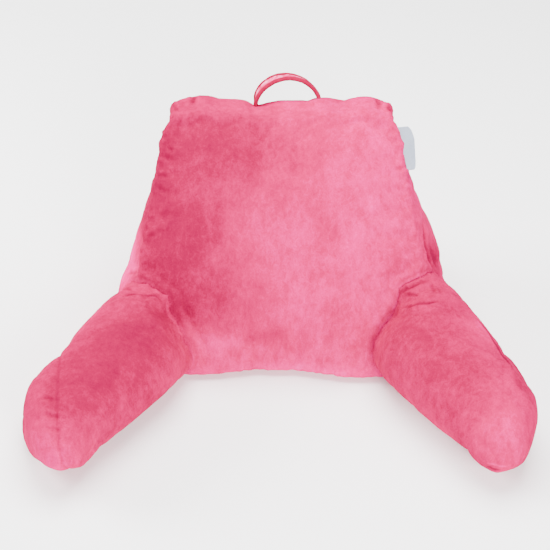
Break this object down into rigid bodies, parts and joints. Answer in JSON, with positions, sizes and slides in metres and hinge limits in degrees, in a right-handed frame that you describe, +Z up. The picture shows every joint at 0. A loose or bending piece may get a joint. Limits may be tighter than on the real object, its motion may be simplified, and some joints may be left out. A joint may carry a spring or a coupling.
{
  "type": "reading pillow with arms",
  "caption": "Backrest pillow for sitting up in bed: a filled wedge back with stuffed arms reaching forward, a strap handle on top and a small side label.",
  "frame": {"origin": "on the surface it stands on, under the middle of the box round the whole pillow", "axes": "+Z up, +X to the viewer's right along the width, -Y towards the sitter, where the arms point"},
  "size_m": [0.6352, 0.4822, 0.3288],
  "materials": {
    "pink_velour": "short pile velour, mottled nap, coral pink",
    "handle_velour": "folded velour strap, turned edges, deeper pink",
    "grey_satin": "woven satin, silver grey, bare"
  },
  "bodies": {
    "root": {"backrest": "pink_velour", "arm_left": "pink_velour", "arm_right": "pink_velour", "carry_handle": "handle_velour", "side_label": "grey_satin"}
  },
  "joints": []
}
